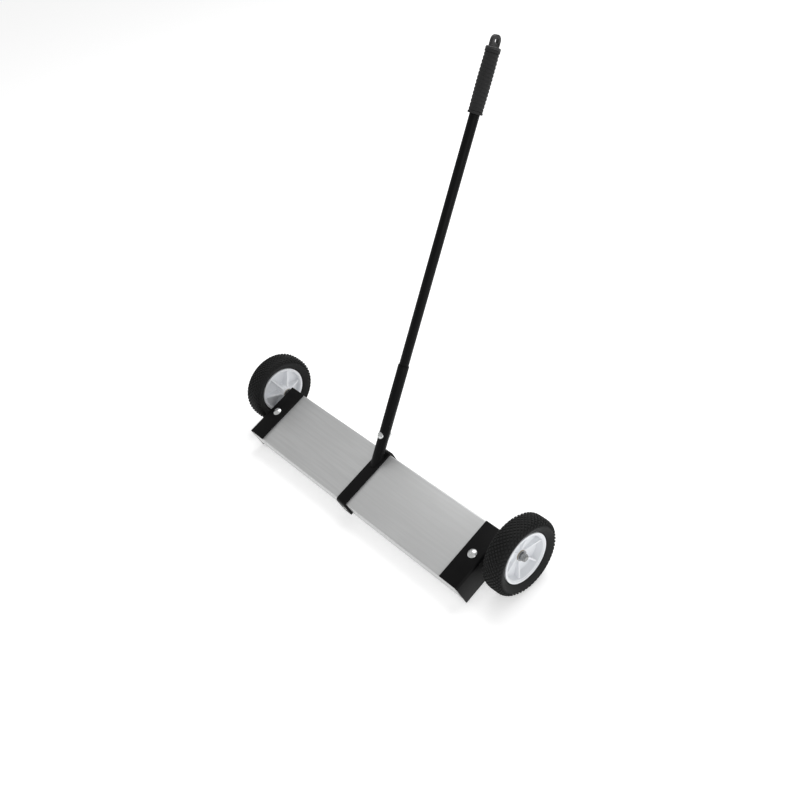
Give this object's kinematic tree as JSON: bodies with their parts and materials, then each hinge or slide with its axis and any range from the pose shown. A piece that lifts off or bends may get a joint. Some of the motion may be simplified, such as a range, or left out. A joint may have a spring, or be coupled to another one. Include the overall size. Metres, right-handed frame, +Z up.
{
  "type": "magnetic nail sweeper",
  "caption": "Wheeled magnetic sweeper: a folded sheet deck over a magnet row, black end brackets, treaded wheels on ribbed hubs and a fixed steel handle with a rubber grip.",
  "frame": {"origin": "on the floor, midway between the wheels and midway from the front of the saddle to the top of the handle", "axes": "+X along the housing and the axles, +Y to the rear where the handle leans, +Z up; the part stands on both tyres and the front corners of its end brackets"},
  "size_m": [0.8994, 0.619, 0.9053],
  "materials": {
    "brushed_aluminium": "satin, brushed along the deck",
    "black_paint": "semi-gloss powder coat",
    "zinc": "bright zinc plate",
    "plain_steel": "mill finish",
    "magnet": "matt ground ceramic",
    "tyre_rubber": "matt",
    "hub_plastic": "satin",
    "bearing_bronze": "oiled sintered",
    "grip_rubber": "matt, ribbed",
    "cap_plastic": "satin"
  },
  "bodies": {
    "frame": {"deck_cover": "brushed_aluminium", "bottom_tray": "brushed_aluminium", "tray_rivets": "zinc", "backing_plate": "plain_steel", "magnet_blocks": "magnet", "front_pole_bar": "plain_steel", "rear_pole_bar": "plain_steel", "spacer_tubes": "plain_steel", "left_bracket": "black_paint", "right_bracket": "black_paint", "deck_bolts": "zinc", "deck_washers": "zinc", "deck_nuts": "zinc", "handle_saddle": "black_paint", "saddle_screws": "zinc", "saddle_nuts": "zinc", "handle_socket": "black_paint", "handle_tube": "black_paint", "socket_bolt": "zinc", "socket_washer": "zinc", "socket_nut": "zinc", "hand_grip": "grip_rubber", "end_cap": "cap_plastic", "left_axle_bolt": "zinc", "right_axle_bolt": "zinc", "axle_jam_nuts": "zinc", "axle_washers": "zinc", "axle_lock_nuts": "zinc"},
    "left_wheel": {"left_tyre": "tyre_rubber", "left_hub_rim": "hub_plastic", "left_hub_web": "hub_plastic", "left_hub_boss": "hub_plastic", "left_hub_ribs": "hub_plastic", "left_inner_bushing": "bearing_bronze", "left_outer_bushing": "bearing_bronze"},
    "right_wheel": {"right_tyre": "tyre_rubber", "right_hub_rim": "hub_plastic", "right_hub_web": "hub_plastic", "right_hub_boss": "hub_plastic", "right_hub_ribs": "hub_plastic", "right_inner_bushing": "bearing_bronze", "right_outer_bushing": "bearing_bronze"}
  },
  "joints": [
    {"name": "left_wheel_spin", "type": "hinge", "parent": "frame", "child": "left_wheel", "pos_m": [-0.4237, -0.16839, 0.089], "axis": [1, 0, 0], "continuous": true},
    {"name": "right_wheel_spin", "type": "hinge", "parent": "frame", "child": "right_wheel", "pos_m": [0.4237, -0.16839, 0.089], "axis": [1, 0, 0], "continuous": true}
  ]
}
